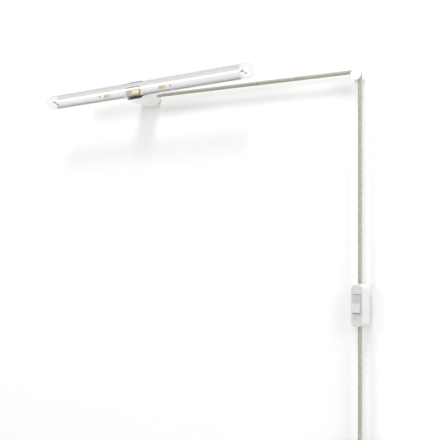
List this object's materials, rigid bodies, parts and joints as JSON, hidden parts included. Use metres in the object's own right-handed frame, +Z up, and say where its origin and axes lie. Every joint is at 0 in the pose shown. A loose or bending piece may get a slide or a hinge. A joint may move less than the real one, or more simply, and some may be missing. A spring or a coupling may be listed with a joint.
{
  "type": "wall lamp",
  "caption": "Plug-in wall lamp: clear linear tube on a swivelling round holder, textile cord over a wall peg to an in-line rocker switch and plug.",
  "frame": {"origin": "centre of the holder's back face, on the wall", "axes": "+X along the wall towards the cord peg, -Y out of the wall, +Z up"},
  "size_m": [0.7276, 0.077, 0.849],
  "materials": {
    "holder_paint": "satin white powder coat",
    "black_moulding": "fine matt",
    "clear_glass": "polished clear",
    "reflector_white": "satin white",
    "frosted_grey": "frosted",
    "phosphor": "matt pale yellow",
    "driver_beige": "matt",
    "gold": "polished",
    "coil_brown": "varnished",
    "cradle_clear": "milky",
    "brass_contact": "satin",
    "zinc_steel": "zinc plated",
    "nylon": "matt",
    "lead_brown": "satin",
    "lead_blue": "satin",
    "wire_dark": "dark",
    "peg_paint": "satin white",
    "switch_white": "satin",
    "plug_white": "satin",
    "pin_nickel": "nickel plated",
    "cord_textile": "braided linen and cotton",
    "tie_strap": "soft loop strap"
  },
  "bodies": {
    "wall": {"wall_bracket": "zinc_steel", "wall_canopy": "holder_paint", "canopy_screws": "zinc_steel", "cord_bushing": "nylon", "cord_clamp": "nylon", "clamp_screws": "zinc_steel", "swivel_hub": "zinc_steel", "slip_washer": "nylon", "spring_washer": "zinc_steel", "swivel_nut": "zinc_steel", "terminal_block": "nylon", "terminal_tubes": "brass_contact", "supply_leads": "lead_brown", "peg_base": "peg_paint", "peg_insert": "brass_contact", "peg_spindle": "zinc_steel", "peg_cap": "peg_paint", "switch_front": "switch_white", "switch_back": "switch_white", "switch_screws": "zinc_steel", "rocker_pin": "zinc_steel", "seesaw_post": "brass_contact", "switch_terminals": "brass_contact", "switch_terminal_screws": "zinc_steel", "switch_clamps": "nylon", "plug_relief": "plug_white", "plug_body": "plug_white", "plug_pins": "pin_nickel", "cord_upper": "cord_textile", "cord_lower": "cord_textile", "cord_coil": "cord_textile", "cord_tail": "cord_textile", "cord_tie": "tie_strap"},
    "head": {"head_sleeve": "holder_paint", "swivel_plate": "zinc_steel", "head_screws": "zinc_steel", "holder_pillars": "zinc_steel", "lampholder": "black_moulding", "contact_cups": "brass_contact", "holder_leads": "lead_blue"},
    "lamp": {"glass_tube": "clear_glass", "lamp_base": "black_moulding", "base_pins": "brass_contact", "reflector_trough": "reflector_white", "upper_diffuser": "frosted_grey", "light_strip": "phosphor", "light_chips": "phosphor", "end_plates": "reflector_white", "driver_module": "driver_beige", "driver_cradle": "cradle_clear", "choke_frame": "coil_brown", "driver_choke": "gold", "strip_clips": "gold", "bridge_wires": "wire_dark", "end_wires": "wire_dark"},
    "rocker": {"rocker": "switch_white", "rocker_plunger": "zinc_steel"},
    "seesaw": {"seesaw_contact": "brass_contact"}
  },
  "joints": [
    {"name": "head_swivel", "type": "hinge", "parent": "wall", "child": "head", "pos_m": [0, -0.022, 0], "axis": [0, 1, 0], "range_deg": [-90, 90]},
    {"name": "lamp_pull", "type": "slide", "parent": "head", "child": "lamp", "axis": [0, -1, 0], "range_m": [0, 0.03]},
    {"name": "rocker_tilt", "type": "hinge", "parent": "wall", "child": "rocker", "pos_m": [0.45388, -0.01979, -0.41515], "axis": [0.9613, -0.2756, 0], "range_deg": [0, 14]},
    {"name": "seesaw_tilt", "type": "hinge", "parent": "wall", "child": "seesaw", "pos_m": [0.45667, -0.01008, -0.41515], "axis": [0.9613, -0.2756, 0], "range_deg": [-14, 0]}
  ],
  "couplings": [
    {"joint": "seesaw_tilt", "follows": "rocker_tilt", "ratio": -1}
  ]
}
